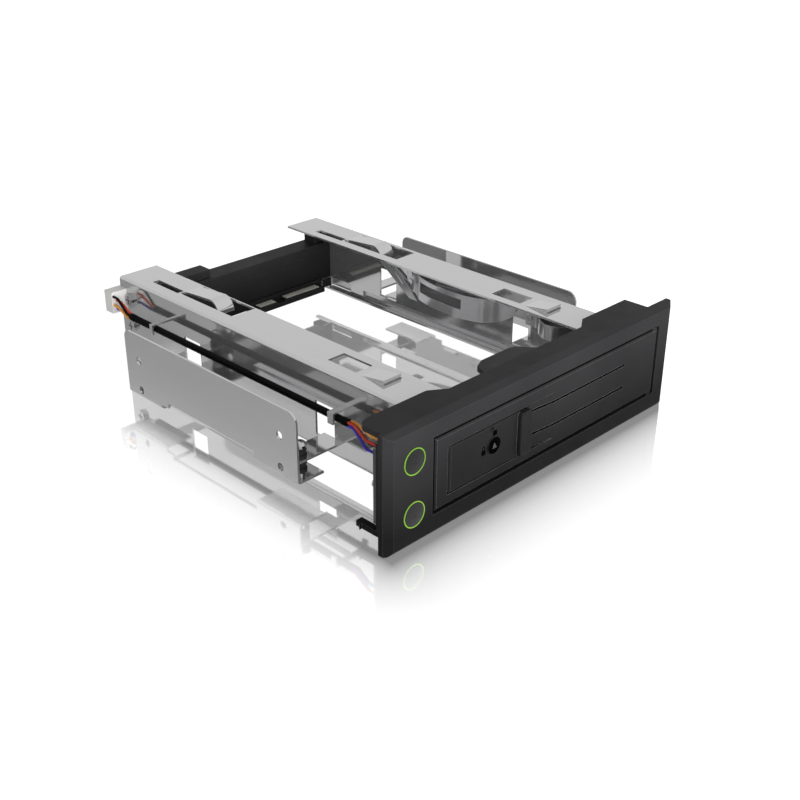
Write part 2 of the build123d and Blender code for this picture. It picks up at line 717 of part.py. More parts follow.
def stop_tongue():
    # Slanted tapered finger with a slit, bent inwards from the right wall
    top = STOP_TOP
    points = [(133.0, top), (121.5, top), (102.5, top - 14.8), (107.0, top - 14.8)]
    finger = side_solid(points, -LEAF_THICK, 0)
    slit = [(122.9, top - 2.1), (121.8, top - 2.1), (111.6, top - 9.6), (112.1, top - 10.0)]
    finger -= side_solid(slit, -1, 1)
    finger = Pos(WALL_INNER, 0, top) * Rot(0, STOP_TILT, 0) * Pos(0, 0, -top) * finger
    return finger + block(WALL_INNER - LEAF_THICK, WALL_INNER, 121.5, 133.0, top - 0.1, top + 1.6)


def spring_rivets():
    solids = []
    for y, z in RIVETS:
        pin = rod_x(WALL_INNER - 0.8, WALL_OUTER + 0.3, y, z, RIVET_R)
        head = rod_x(WALL_INNER - 0.8, WALL_INNER - LEAF_THICK, y, z, 1.3)
        solids.append(pin + head + rod_x(WALL_OUTER, WALL_OUTER + 0.4, y, z, 1.2))
    return solids


# Door
def door_skin():
    front = -BEZEL_THICK
    back = front + DOOR_SKIN
    inset = DOOR_BEVEL
    plan = [(DOOR_LEFT, back), (DOOR_LEFT, front + inset), (DOOR_LEFT + inset, front)]
    plan += [(DOOR_RIGHT - inset, front), (DOOR_RIGHT, front + inset), (DOOR_RIGHT, back)]
    profile = [(back, DOOR_BOTTOM), (front + inset, DOOR_BOTTOM), (front, DOOR_BOTTOM + inset)]
    profile += [(front, DOOR_TOP - inset), (front + inset, DOOR_TOP), (back, DOOR_TOP)]
    skin = plan_solid(plan, DOOR_BOTTOM, DOOR_TOP)
    return skin & side_solid(profile, DOOR_LEFT, DOOR_RIGHT)


def crank_lug():
    x, y = around_hinge(CRANK_R, CRANK_ANGLE)
    z0 = LINK_Z - 2.1
    z1 = LINK_Z - 0.1
    lug = rod_z(x, y, z0, z1, LINK_EYE_R)
    turn = radians(CRANK_ANGLE)
    ax = -sin(turn) * 1.6
    ay = cos(turn) * 1.6
    arm = [(HINGE_X + ax, HINGE_Y + ay), (x + ax, y + ay)]
    arm += [(x - ax, y - ay), (HINGE_X - ax, HINGE_Y - ay)]
    return lug + plan_solid(arm, z0, z1)


def scoop_cut():
    # Shallow finger recess beside the latch handle, its ramp and the two grooves
    start = LATCH_RIGHT - 0.3
    front = -BEZEL_THICK
    plan = [(start, front - 1), (start, SCOOP_FLOOR)]
    plan += [(SCOOP_EDGE, front), (SCOOP_EDGE, front - 1)]
    cut = plan_solid(plan, LATCH_BOTTOM - 0.4, LATCH_TOP + 0.4)
    deep = GROOVE_DEPTH
    half = GROOVE_WIDTH / 2
    line = [(start, front - 1), (start, SCOOP_FLOOR + deep)]
    line += [(SCOOP_EDGE, front + deep), (GROOVE_END, front + deep), (GROOVE_END, front - 1)]
    for z in (LATCH_TOP - 3.0, LATCH_BOTTOM + 4.8):
        cut += plan_solid(line, z - half, z + half)
    return cut


def door():
    back = -BEZEL_THICK + DOOR_SKIN
    body = door_skin()
    low = DOOR_BOTTOM + 2.1
    high = DOOR_TOP - 3.3
    left = DOOR_LEFT + 3.9
    boss = block(left, 8.0, back - 0.5, 2.4, low, high)
    boss -= block(left + 1.0, left + 3.0, -1.6, 3, high - 4.7, high - 1.1)
    body += boss
    for z in (low, high - 1.0):
        body += block(7.0, 55.5, back - 0.5, 0.5, z, z + 1.0)
    for x in (22.0, 38.0, 54.5):
        body += block(x, x + 1.0, back - 0.5, 0.5, low, high)
    body += rod_z(HINGE_X, HINGE_Y, DOOR_BOTTOM, DOOR_TOP, KNUCKLE_R)
    body += crank_lug()
    low = LATCH_BOTTOM - 0.3
    high = LATCH_TOP + 0.3
    pocket = LATCH_PIVOT_X - 1.5
    body -= block(pocket, LATCH_RIGHT + 0.3, -6, -1.5, low, high)
    body -= scoop_cut()
    body -= rod_y(LOCK_X, -3, 4, LOCK_Z, LOCK_HOLE_R)
    nose_z0 = LATCH_BOTTOM + 3.3
    nose_z1 = LATCH_TOP - 3.4
    body -= block(DOOR_LEFT + 2, LATCH_PIVOT_X + 5.3, back, 4, nose_z0, nose_z1)
    body -= block(pocket, LATCH_PIVOT_X + 5.3, -2.0, 4, nose_z0, nose_z1)
    body -= rod_z(HINGE_X, HINGE_Y, 5, 38, HINGE_PIN_R + RUN_CLEAR)
    x, y = around_hinge(CRANK_R, CRANK_ANGLE)
    body -= rod_z(x, y, 10, LINK_Z, EJECT_PIN_R)
    body -= rod_z(LATCH_PIVOT_X, LATCH_PIVOT_Y, LATCH_BOTTOM - 1.8, LATCH_TOP + 1.8, LATCH_PIN_R)
    return body


def latch_pin():
    return rod_z(LATCH_PIVOT_X, LATCH_PIVOT_Y, LATCH_BOTTOM - 1.8, LATCH_TOP + 1.8, LATCH_PIN_R)


def door_hinge_pin():
    return hinge_pin_rod()


def crank_pin():
    x, y = around_hinge(CRANK_R, CRANK_ANGLE)
    top = LINK_Z + LINK_THICK + 0.1
    return rod_z(x, y, LINK_Z - 2.1, top + 0.2, EJECT_PIN_R) + rod_z(x, y, top, top + 0.8, 1.6)


# Latch handle with lock
def finger_bar():
    # Upright grip with rounded edges and round ends
    left, right = FINGER_BAR
    wide = right - left
    front = -BEZEL_THICK - FINGER_BAR_RISE
    deep = FINGER_BAR_RISE + 1.4
    plan = Pos((left + right) / 2, front + deep / 2) * RectangleRounded(wide, deep, FINGER_BAR_R)
    grip = extrude(Pos(0, 0, LATCH_BOTTOM) * plan, LATCH_TOP - LATCH_BOTTOM)
    middle = (LATCH_BOTTOM + LATCH_TOP) / 2
    outline = RectangleRounded(wide, LATCH_TOP - LATCH_BOTTOM, FINGER_BAR_END_R)
    return grip & front_face(Pos((left + right) / 2, middle) * outline, front, front + deep)


def latch_handle():
    front = -BEZEL_THICK
    body = block(LATCH_PIVOT_X, LATCH_RIGHT, front, LATCH_BACK, LATCH_BOTTOM, LATCH_TOP)
    body += rod_z(LATCH_PIVOT_X, LATCH_PIVOT_Y, LATCH_BOTTOM, LATCH_TOP, LATCH_END_R)
    body += finger_bar()
    x = LATCH_PIVOT_X
    z0 = LATCH_BOTTOM + 4.3
    z1 = LATCH_TOP - 4.4
    body += block(x - 0.8, x + 0.8, -3.4, 4.4, z0, z1)
    nose = [(x + 0.3, 3.0), (x - 4.2, 3.0), (x - 5.0, 3.8), (x - 5.0, 4.4), (x + 0.3, 4.4)]
    body += plan_solid(nose, z0, z1)
    body -= rod_z(LATCH_PIVOT_X, LATCH_PIVOT_Y, 10, 32, LATCH_PIN_R + RUN_CLEAR)
    body -= rod_y(LOCK_X, front - 1, 0, LOCK_Z, LOCK_R + RUN_CLEAR)
    body -= ring_y(LOCK_X, front - 1, front + 0.3, LOCK_Z, 3.6, 3.2)
    return body


def lock_cylinder():
    barrel = rod_y(LOCK_X, -BEZEL_THICK - 0.1, 1.5, LOCK_Z, LOCK_R)
    barrel += rod_y(LOCK_X, LATCH_BACK + 0.05, LATCH_BACK + 0.65, LOCK_Z, 3.2)
    key = [(LOCK_X - 1.1, LOCK_Z - 0.7), (LOCK_X + 1.1, LOCK_Z - 0.7), (LOCK_X, LOCK_Z + 1.2)]
    return barrel - front_solid(key, -5, -2.2)


def lock_cam():
    cam = block(LOCK_X - 2.4, LOCK_X + 2.4, 1.5, 2.5, LOCK_Z - 1.2, LOCK_Z + 1.2)
    for side in (-1, 1):
        cam += rod_y(LOCK_X + side * 2.4, 1.5, 2.5, LOCK_Z, 1.2)
    return cam


# Ejector
def ejector_link():
    x0, y0 = around_hinge(CRANK_R, CRANK_ANGLE)
    x1, y1 = LINK_REAR
    z1 = LINK_Z + LINK_THICK
    body = rod_z(x0, y0, LINK_Z, z1, LINK_EYE_R) + rod_z(x1, y1, LINK_Z, z1, LINK_EYE_R)
    strip = [(x0 - 1.7, y0), (x0 + 1.7, y0), (x1 + 1.7, y1), (x1 - 1.7, y1)]
    body += plan_solid(strip, LINK_Z, z1)
    body -= rod_z(x0, y0, 10, 16, EJECT_PIN_R + RUN_CLEAR)
    return body - rod_z(x1, y1, 10, 16, EJECT_PIN_R)


def link_pin():
    x, y = LINK_REAR
    top = LINK_Z + LINK_THICK
    return rod_z(x, y, 11.0, top + 0.2, EJECT_PIN_R) + rod_z(x, y, top, top + 0.6, 1.6)


def ejector_slider():
    y1 = PUSHER_Y + 1.6
    body = block(SLIDER_IN, SLIDER_OUT, SLIDER_FRONT, y1, SLIDER_BOTTOM, SLIDER_TOP)
    body += block(47.0, SLIDER_OUT, y1 - 1.0, y1, SLIDER_BOTTOM, SLIDER_TOP)
    body += block(SLIDER_IN, 60.2, 24.5, 33.5, 11.6, 12.4)
    x, y = LINK_REAR
    half = EJECT_PIN_R + 0.45
    return body - block(53.4, 58.9, y - half, y + half, 11, 13)


def slider_pusher():
    return block(46.2, 50.9, PUSHER_Y, PUSHER_Y + 0.6, SLIDER_BOTTOM, SLIDER_TOP)


def build_nodes():
    nodes = {
        "front_bezel": front_bezel(),
        "left_rail": left_rail(),
        "right_rail": right_rail(),
        "left_side_plate": side_plate(-1),
        "right_side_plate": side_plate(1),
        "left_damper_bushings": damper_bushings(-1),
        "right_damper_bushings": damper_bushings(1),
        "damper_spacers": damper_spacers(),
        "damper_screws": damper_screws(),
        "rear_bracket": rear_bracket(),
        "backplane_board": backplane_board(),
        "sata_receptacle": sata_receptacle(),
        "receptacle_contacts": receptacle_contacts(),
        "rear_data_port": rear_data_port(),
        "rear_power_port": rear_power_port(),
        "rear_screws": rear_screws(),
        "bezel_screws": bezel_screws(),
        "cable_plug_rear": cable_plug_rear(),
        "cable_sleeve": cable_sleeve(),
        "front_board": front_board(),
        "board_screws": board_screws(),
        "board_connector": board_connector(),
        "button_switches": button_switches(),
        "upper_light_ring": light_ring(BUTTON_ZS[0]),
        "lower_light_ring": light_ring(BUTTON_ZS[1]),
        "upper_button": button(BUTTON_ZS[0]),
        "lower_button": button(BUTTON_ZS[1]),
        "long_side_spring": long_side_spring(),
        "short_side_spring": short_side_spring(),
        "stop_tongue": stop_tongue(),
        "spring_rivets": spring_rivets(),
        "door": door(),
        "door_hinge_pin": door_hinge_pin(),
        "latch_pin": latch_pin(),
        "crank_pin": crank_pin(),
        "latch_handle": latch_handle(),
        "lock_cylinder": lock_cylinder(),
        "lock_cam": lock_cam(),
        "ejector_link": ejector_link(),
        "link_pin": link_pin(),
        "ejector_slider": ejector_slider(),
        "slider_pusher": slider_pusher(),
    }
    for index, name in enumerate(WIRE_NAMES):
        nodes[name] = loom_wire(index)
    return nodes


def as_list(shape):
    return shape if isinstance(shape, list) else [shape]


def mid_depth(nodes):
    boxes = [piece.bounding_box() for shape in nodes.values() for piece in as_list(shape)]
    return (min(b.min.Y for b in boxes) + max(b.max.Y for b in boxes)) / 2


def base_height(nodes):
    return min(piece.bounding_box().min.Z for shape in nodes.values() for piece in as_list(shape))


def mid_width(nodes):
    boxes = [piece.bounding_box() for shape in nodes.values() for piece in as_list(shape)]
    return (min(b.min.X for b in boxes) + max(b.max.X for b in boxes)) / 2


def main():
    os.makedirs("parts", exist_ok=True)
    nodes = build_nodes()
    shift = Pos(-mid_width(nodes), -mid_depth(nodes), -base_height(nodes))
    for name, shape in nodes.items():
        solids = [s for piece in as_list(shape) for s in piece.solids()]
        moved = [shift * s for s in solids]
        whole = moved[0] if len(moved) == 1 else Compound(children=moved)
        whole.label = name
        export_step(whole, "parts/" + name + ".step")
    print("pieces", len(nodes), "shift", shift.position)


if __name__ == "__main__":
    main()
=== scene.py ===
import bmesh
import bpy
import json
from math import atan2, cos, pi, radians, sin, sqrt
from mathutils import Matrix, Vector


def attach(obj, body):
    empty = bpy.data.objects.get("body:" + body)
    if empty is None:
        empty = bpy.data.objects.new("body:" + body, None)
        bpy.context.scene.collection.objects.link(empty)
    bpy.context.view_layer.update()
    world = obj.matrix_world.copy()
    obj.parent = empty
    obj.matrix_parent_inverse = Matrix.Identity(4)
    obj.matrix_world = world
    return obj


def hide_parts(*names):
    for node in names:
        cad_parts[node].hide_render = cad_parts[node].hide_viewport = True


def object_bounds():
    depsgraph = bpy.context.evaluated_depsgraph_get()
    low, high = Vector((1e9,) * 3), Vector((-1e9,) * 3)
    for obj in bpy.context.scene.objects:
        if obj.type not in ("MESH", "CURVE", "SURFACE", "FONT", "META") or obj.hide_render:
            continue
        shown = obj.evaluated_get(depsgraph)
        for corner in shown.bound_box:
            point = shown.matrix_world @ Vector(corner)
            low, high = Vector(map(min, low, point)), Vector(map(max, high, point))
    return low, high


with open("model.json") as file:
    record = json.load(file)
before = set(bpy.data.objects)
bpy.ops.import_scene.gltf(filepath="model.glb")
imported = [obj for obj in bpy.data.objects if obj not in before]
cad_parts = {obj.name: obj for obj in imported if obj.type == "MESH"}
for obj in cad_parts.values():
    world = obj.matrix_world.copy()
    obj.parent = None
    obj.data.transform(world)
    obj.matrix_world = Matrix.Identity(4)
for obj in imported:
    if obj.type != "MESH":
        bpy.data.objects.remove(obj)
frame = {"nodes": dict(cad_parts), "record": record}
cad_low, cad_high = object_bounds()

# Millimetres of the model's own drawing, where y = 0 is the back of the bezel
MM = 0.001
Y_SHIFT = -81.4

# Places taken over from the part's source
BUTTON_X = -63.1
LOCK_X = -26.4
LOCK_Z = 21.2
BEZEL_FRONT = -4.0
BOARD_BACK = 5.8
BACKPLANE_BACK = 163.1
SLEEVE_X = -57.6
SLEEVE_Z = 27.8
SLEEVE_R = 1.3
SLEEVE_ENDS = (30.2, 153.2)
WALL_INNER = 51.2
LEAF_THICK = 0.4
LATCH_PIVOT = (-46.8, -2.9)
LATCH_RIGHT = -8.1
LATCH_BACK = -1.8
LATCH_ZS = (12.4, 28.7)
LOCK_HOLE_R = 2.6

# Finger bar of the handle as the photograph shows it
BAR_XS = (-14.7, -8.9)
BAR_FRONT = -6.0
BAR_ROUND = 2.4

# Lock: radius of its printed face and points on its circles; depth of the printed signs
LOCK_FACE_R = 2.95
CIRCLE_STEPS = 48
SIGN_DEPTH = (-0.04, 0.02)

# Painted shade in the seams of the door: depths behind its face where the painted dark comes in and ends,
# and its tone
SEAM_START = (0.02, 0.12)
SEAM_EDGE_START = (0.5, 0.6)
SEAM_END = (2.4, 3.0)
SEAM_SHADE_TONE = 0.06

# Camera of the photograph, angles in degrees
CAM_AZIMUTH = -45.44
CAM_ELEVATION = 27.087
CAM_ROLL = 0.294
CAM_DISTANCE = 442.046
CAM_TARGET = (-3.686, 60.83, 5.805)
CAM_LENS = 53.14

# Floor: light added for the camera, and the mirror image near the object
FLOOR_LIFT = 0.8
MIRROR_SHARE = 0.8
MIRROR_REACH = 0.012


def at(x, y, z):
    return Vector((x * MM, (y + Y_SHIFT) * MM, z * MM))


# Materials
class Shader:
    """A node material with short calls for what most of them need."""

    def __init__(self, name):
        self.material = bpy.data.materials.new(name)
        self.material.use_nodes = True
        self.tree = self.material.node_tree
        self.surface = self.tree.nodes["Principled BSDF"]
        self.place = self.tree.nodes.new("ShaderNodeTexCoord").outputs["Object"]

    def node(self, kind, **values):
        made = self.tree.nodes.new(kind)
        for key, value in values.items():
            setattr(made, key, value)
        return made

    def link(self, out, into):
        self.tree.links.new(out, into)

    def set(self, **values):
        for key, value in values.items():
            self.surface.inputs[key.replace("_", " ")].default_value = value

    def stretched(self, scale):
        mapping = self.node("ShaderNodeMapping")
        mapping.inputs["Scale"].default_value = scale
        self.link(self.place, mapping.inputs["Vector"])
        return mapping.outputs["Vector"]

    def noise(self, scale, detail=3.0, stretch=(1, 1, 1), roughness=0.5):
        made = self.node("ShaderNodeTexNoise")
        made.inputs["Scale"].default_value = scale
        made.inputs["Detail"].default_value = detail
        made.inputs["Roughness"].default_value = roughness
        self.link(self.stretched(stretch), made.inputs["Vector"])
        return made.outputs["Fac"]

    def ramp(self, source, low, high, start=0.35, end=0.65):
        made = self.node("ShaderNodeMapRange")
        made.inputs["From Min"].default_value = start
        made.inputs["From Max"].default_value = end
        made.inputs["To Min"].default_value = low
        made.inputs["To Max"].default_value = high
        self.link(source, made.inputs["Value"])
        return made.outputs["Result"]

    def axis(self, source, name):
        parts = self.node("ShaderNodeSeparateXYZ")
        self.link(source, parts.inputs["Vector"])
        return parts.outputs[name]

    def calculate(self, operation, *operands):
        # Each operand is a socket or a plain number
        made = self.node("ShaderNodeMath", operation=operation)
        for into, operand in zip(made.inputs, operands):
            if isinstance(operand, bpy.types.NodeSocket):
                self.link(operand, into)
            else:
                into.default_value = operand
        return made.outputs["Value"]

    def scale_colour(self, factor):
        # The base colour so far is multiplied by a factor
        plain = self.surface.inputs["Base Color"].links[0].from_socket
        scaled = self.node("ShaderNodeVectorMath", operation="SCALE")
        self.link(plain, scaled.inputs[0])
        self.link(factor, scaled.inputs["Scale"])
        self.link(scaled.outputs["Vector"], self.surface.inputs["Base Color"])

    def painted_height_shade(self, low_z, high_z, low, high):
        # Painted shade: the factor on the colour grows with the height in millimetres, standing in for
        # light that falls more on the upper parts
        height = self.axis(self.place, "Z")
        self.scale_colour(self.ramp(height, low, high, low_z * MM, high_z * MM))

    def colours(self, source, low, high, start=0.35, end=0.65):
        made = self.node("ShaderNodeValToRGB")
        made.color_ramp.elements[0].position = start
        made.color_ramp.elements[0].color = (*low, 1)
        made.color_ramp.elements[1].position = end
        made.color_ramp.elements[1].color = (*high, 1)
        self.link(source, made.inputs["Fac"])
        self.link(made.outputs["Color"], self.surface.inputs["Base Color"])

    def painted_edge_highlight(self, radius, tone):
        # Painted highlight: where a rounded edge turns away from the face, the colour goes towards the tone
        bevel = self.node("ShaderNodeBevel", samples=4)
        bevel.inputs["Radius"].default_value = radius
        face = self.node("ShaderNodeNewGeometry")
        facing = self.node("ShaderNodeVectorMath", operation="DOT_PRODUCT")
        self.link(bevel.outputs["Normal"], facing.inputs[0])
        self.link(face.outputs["Normal"], facing.inputs[1])
        share = self.ramp(facing.outputs["Value"], 1.0, 0.0, 0.8, 0.99)
        plain = self.surface.inputs["Base Color"].links[0].from_socket
        mixed = self.node("ShaderNodeMix", data_type="RGBA")
        self.link(share, mixed.inputs[0])
        self.link(plain, mixed.inputs[6])
        mixed.inputs[7].default_value = (tone, tone, tone, 1)
        self.link(mixed.outputs[2], self.surface.inputs["Base Color"])

    def paint_seam_shade(self):
        # Painted shade: walls that go back from the front face are darkened, standing in for the shadow in
        # the gaps round the door
        front = BEZEL_FRONT + Y_SHIFT
        depth = self.axis(self.place, "Y")
        normal = self.place.node.outputs["Normal"]
        turned = self.calculate("ABSOLUTE", self.axis(normal, "Y"))

        def by_depth(limits, low, high):
            start, end = limits
            return self.ramp(depth, low, high, (front + start) * MM, (front + end) * MM)

        shallow = by_depth(SEAM_END, 1.0, 0.0)
        wall = self.calculate("MULTIPLY", by_depth(SEAM_START, 0.0, 1.0), shallow)
        wall = self.calculate("MULTIPLY", wall, self.ramp(turned, 1.0, 0.0, 0.5, 0.6))
        # The outer part of a bevelled edge lies in the gap as well and gets the painted shade
        sloping = self.ramp(turned, 1.0, 0.0, 0.8, 0.9)
        edge = self.calculate("MULTIPLY", by_depth(SEAM_EDGE_START, 0.0, 1.0), sloping)
        edge = self.calculate("MULTIPLY", edge, shallow)
        dark = self.calculate("MAXIMUM", wall, edge)
        self.scale_colour(self.ramp(dark, 1.0, SEAM_SHADE_TONE, 0.0, 1.0))

    def relief(self, source, strength, distance, edge=0.0):
        bump = self.node("ShaderNodeBump")
        bump.inputs["Strength"].default_value = strength
        bump.inputs["Distance"].default_value = distance
        self.link(source, bump.inputs["Height"])
        if edge:
            round_edge = self.node("ShaderNodeBevel", samples=4)
            round_edge.inputs["Radius"].default_value = edge
            self.link(round_edge.outputs["Normal"], bump.inputs["Normal"])
        self.link(bump.outputs["Normal"], self.surface.inputs["Normal"])


def plastic(name, dark, light, rough, grain=0.12, edge=0.0003, gloss=0.07, edge_highlight=0.05, shade=(),
            shaded_seams=False):
    # Moulded plastic with a fine spark-eroded grain. Painted highlights make its edges a little brighter, a
    # painted shade can darken it towards the bottom, and painted shade can darken the walls of its seams
    shader = Shader(name)
    shader.set(Specular_IOR_Level=gloss)
    shader.colours(shader.noise(35, 2), dark, light)
    if shade:
        shader.painted_height_shade(6.0, 36.0, *shade)
    if edge:
        shader.painted_edge_highlight(edge, edge_highlight)
    if shaded_seams:
        shader.paint_seam_shade()
    fine = shader.noise(2600, 2)
    shader.link(shader.ramp(shader.noise(120, 3), rough - 0.05, rough + 0.06),
                shader.surface.inputs["Roughness"])
    shader.relief(fine, grain, 0.00006, edge)
    return shader.material


def steel(name, dark, light, rough, stretch=(90, 1, 90), edge=0.0002, metal=0.8):
    # Plated sheet: mostly a soft mirror, with faint cloudy changes of tone
    shader = Shader(name)
    shader.set(Metallic=metal, Specular_IOR_Level=0.2)
    lines = shader.noise(14, 5, stretch, 0.6)
    shader.colours(lines, dark, light, 0.3, 0.7)
    shader.link(shader.ramp(shader.noise(60, 4), rough - 0.02, rough + 0.03),
                shader.surface.inputs["Roughness"])
    shader.relief(lines, 0.005, 0.00002, edge)
    return shader.material


def rubber(name, dark, light, rough=0.62, gloss=0.1):
    shader = Shader(name)
    shader.colours(shader.noise(200, 3), dark, light)
    shader.set(Specular_IOR_Level=gloss)
    shader.link(shader.ramp(shader.noise(90, 3), rough - 0.06, rough + 0.08),
                shader.surface.inputs["Roughness"])
    shader.relief(shader.noise(1400, 2), 0.2, 0.00005)
    return shader.material


def circuit_board(name):
    # Solder mask over copper tracks
    shader = Shader(name)
    tracks = shader.node("ShaderNodeTexBrick")
    tracks.inputs["Color1"].default_value = (0.006, 0.008, 0.007, 1)
    tracks.inputs["Color2"].default_value = (0.008, 0.01, 0.009, 1)
    tracks.inputs["Mortar"].default_value = (0.02, 0.024, 0.021, 1)
    tracks.inputs["Scale"].default_value = 260
    tracks.inputs["Mortar Size"].default_value = 0.018
    shader.link(shader.place, tracks.inputs["Vector"])
    shader.link(tracks.outputs["Color"], shader.surface.inputs["Base Color"])
    shader.set(Roughness=0.32, Coat_Weight=0.3)
    shader.relief(tracks.outputs["Fac"], 0.15, 0.00004, 0.0001)
    return shader.material


def light_guide(name):
    shader = Shader(name)
    shader.colours(shader.noise(150, 2), (0.12, 0.24, 0.02), (0.16, 0.31, 0.03))
    shader.set(Roughness=0.3, Specular_IOR_Level=0.2)
    shader.set(Emission_Color=(0.2, 0.46, 0.04, 1), Emission_Strength=0.25)
    shader.relief(shader.noise(900, 2), 0.08, 0.00003)
    return shader.material


def build_materials():
    return {
        # In each material the edge tone is a painted highlight, the shade range is painted shade by height,
        # and the seam setting paints shade into the gaps
        "black_plastic": plastic("bezel_plastic", (0.018, 0.0175, 0.0185), (0.022, 0.0215, 0.0225), 0.42,
                                 edge=0.00025, gloss=0.03, edge_highlight=0.08, shade=(0.4, 1.5)),
        "door_plastic": plastic("door_plastic", (0.017, 0.0165, 0.0175), (0.021, 0.0205, 0.0215), 0.42,
                                edge=0.00022, gloss=0.03, edge_highlight=0.2, shade=(0.45, 1.5), shaded_seams=True),
        "handle_plastic": plastic("handle_plastic", (0.0145, 0.0142, 0.0148), (0.018, 0.0177, 0.0183), 0.42,
                                  edge=0.0002, gloss=0.03, edge_highlight=0.13, shade=(0.6, 1.3), shaded_seams=True),
        "button_black": plastic("button_plastic", (0.01, 0.011, 0.01), (0.015, 0.016, 0.015),
                                0.18, 0.02, 0.0002, 0.28, 0.02),
        "connector_plastic": plastic("connector_plastic", (0.012, 0.012, 0.012),
                                     (0.018, 0.018, 0.018), 0.4, 0.1, edge_highlight=0.04),
        "white_plastic": plastic("white_plastic", (0.72, 0.72, 0.7), (0.8, 0.8, 0.78), 0.35, 0.1,
                                 gloss=0.4, edge_highlight=0.82),
        "sheet_steel": steel("sheet_steel", (0.505, 0.505, 0.51), (0.525, 0.525, 0.53), 0.07),
        "spring_steel": steel("spring_steel", (0.52, 0.52, 0.53), (0.55, 0.55, 0.56), 0.12, metal=0.55),
        "zinc_hardware": steel("zinc_hardware", (0.42, 0.42, 0.43), (0.5, 0.5, 0.5), 0.12, (1, 1, 1),
                               metal=1.0),
        "lock_metal": steel("lock_metal", (0.035, 0.035, 0.036), (0.05, 0.05, 0.051), 0.2, (1, 1, 1),
                            metal=1.0),
        "key_metal": steel("key_metal", (0.13, 0.13, 0.132), (0.18, 0.18, 0.182), 0.25, (1, 1, 1),
                           metal=1.0),
        "gold_contacts": steel("gold_contacts", (0.66, 0.65, 0.58), (0.76, 0.74, 0.66), 0.3, (1, 1, 1),
                               metal=0.15),
        "damper_rubber": rubber("damper_rubber", (0.014, 0.014, 0.015), (0.026, 0.026, 0.027)),
        "circuit_board": circuit_board("circuit_board"),
        "green_light_guide": light_guide("green_light_guide"),
        "sleeve_black": rubber("sleeve_black", (0.0015, 0.0015, 0.0015), (0.003, 0.003, 0.003), 0.5, 0.03),
        "wire_black": rubber("wire_black", (0.003, 0.003, 0.003), (0.006, 0.006, 0.006), 0.4, 0.05),
        "wire_red": rubber("wire_red", (0.5, 0.05, 0.03), (0.62, 0.08, 0.05), 0.4),
        "wire_orange": rubber("wire_orange", (0.8, 0.33, 0.06), (0.9, 0.42, 0.1), 0.4),
        "wire_blue": rubber("wire_blue", (0.05, 0.04, 0.4), (0.08, 0.06, 0.5), 0.4),
        "printed_black": rubber("printed_black", (0.001, 0.001, 0.001), (0.002, 0.002, 0.002), 0.7, 0.0),
    }


def dress_nodes(materials):
    slots = {row["node"]: row["material_slot"] for row in frame["record"]["subparts"]}
    for name, shown in frame["nodes"].items():
        material = materials[slots[name]]
        shown.data.materials.clear()
        shown.data.materials.append(material)


# Pieces that only the scene has
def new_piece(name, mesh_maker, material, body, bevel=0.0):
    shape = bmesh.new()
    mesh_maker(shape)
    bmesh.ops.recalc_face_normals(shape, faces=shape.faces)
    mesh = bpy.data.meshes.new(name)
    shape.to_mesh(mesh)
    shape.free()
    piece = bpy.data.objects.new(name, mesh)
    bpy.context.collection.objects.link(piece)
    mesh.materials.append(material)
    if bevel:
        rounded = piece.modifiers.new("edges", "BEVEL")
        rounded.width = bevel * MM
        rounded.segments = 2
        rounded.limit_method = "ANGLE"
    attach(piece, body)
    return piece


def add_prism(shape, outline, y0, y1):
    # An outline in x and z, made solid from y0 to y1
    near = [shape.verts.new(at(x, y0, z)) for x, z in outline]
    far = [shape.verts.new(at(x, y1, z)) for x, z in outline]
    shape.faces.new(near)
    shape.faces.new(list(reversed(far)))
    count = len(outline)
    for i in range(count):
        j = (i + 1) % count
        shape.faces.new((near[i], far[i], far[j], near[j]))


def add_lathe(shape, centre, axis, profile, steps=40):
    # A profile of distance along the axis and radius, turned round the axis
    centre = Vector(centre)
    axis = Vector(axis).normalized()
    side = axis.orthogonal().normalized()
    other = axis.cross(side)
    rings = []
    for along, radius in profile:
        ring = []
        for i in range(steps):
            turn = 2 * pi * i / steps
            spot = centre + axis * along + (side * cos(turn) + other * sin(turn)) * radius
            ring.append(shape.verts.new(at(*spot)))
        rings.append(ring)
    for first, second in zip(rings, rings[1:]):
        for i in range(steps):
            j = (i + 1) % steps
            shape.faces.new((first[i], first[j], second[j], second[i]))
    shape.faces.new(list(reversed(rings[0])))
    shape.faces.new(rings[-1])


def arc(x, z, radius, start, end, steps):
    points = []
    for i in range(steps + 1):
        turn = radians(start + (end - start) * i / steps)
        points.append((x + radius * cos(turn), z + radius * sin(turn)))
    return points


def padlock(name, x, z, turned, materials):
    # A padlock sign printed on the handle; an open one has its shackle swung to the left
    wide, high, corner = 0.98, 0.9, 0.2
    outer_r, inner_r = 0.7, 0.4
    y0, y1 = (BEZEL_FRONT + depth for depth in SIGN_DEPTH)

    def make(shape):
        body = []
        for sx, sz, start in ((1, 1, 0), (-1, 1, 90), (-1, -1, 180), (1, -1, 270)):
            middle = (x + sx * (wide - corner), z + sz * (high - corner))
            body += arc(*middle, corner, start, start + 90, 4)
        add_prism(shape, body, y0, y1)
        foot = z + high - 0.1
        top = z + high + 0.75
        shackle = [(x + outer_r, foot)] + arc(x, top, outer_r, 0, 180, 12) + [(x - outer_r, foot)]
        shackle += [(x - inner_r, foot)] + arc(x, top, inner_r, 180, 0, 12) + [(x + inner_r, foot)]
        if turned:
            shackle = [(px - 1.5, pz + 0.25) for px, pz in shackle]
        add_prism(shape, shackle, y0, y1)
    new_piece(name, make, materials["printed_black"], "latch")


def join_rows(shape, rows):
    # Faces between neighbouring closed rows, and from the last row back to the first
    count = len(rows[0])
    for first, second in zip(rows, rows[1:] + rows[:1]):
        for i in range(count):
            j = (i + 1) % count
            shape.faces.new((first[i], first[j], second[j], second[i]))


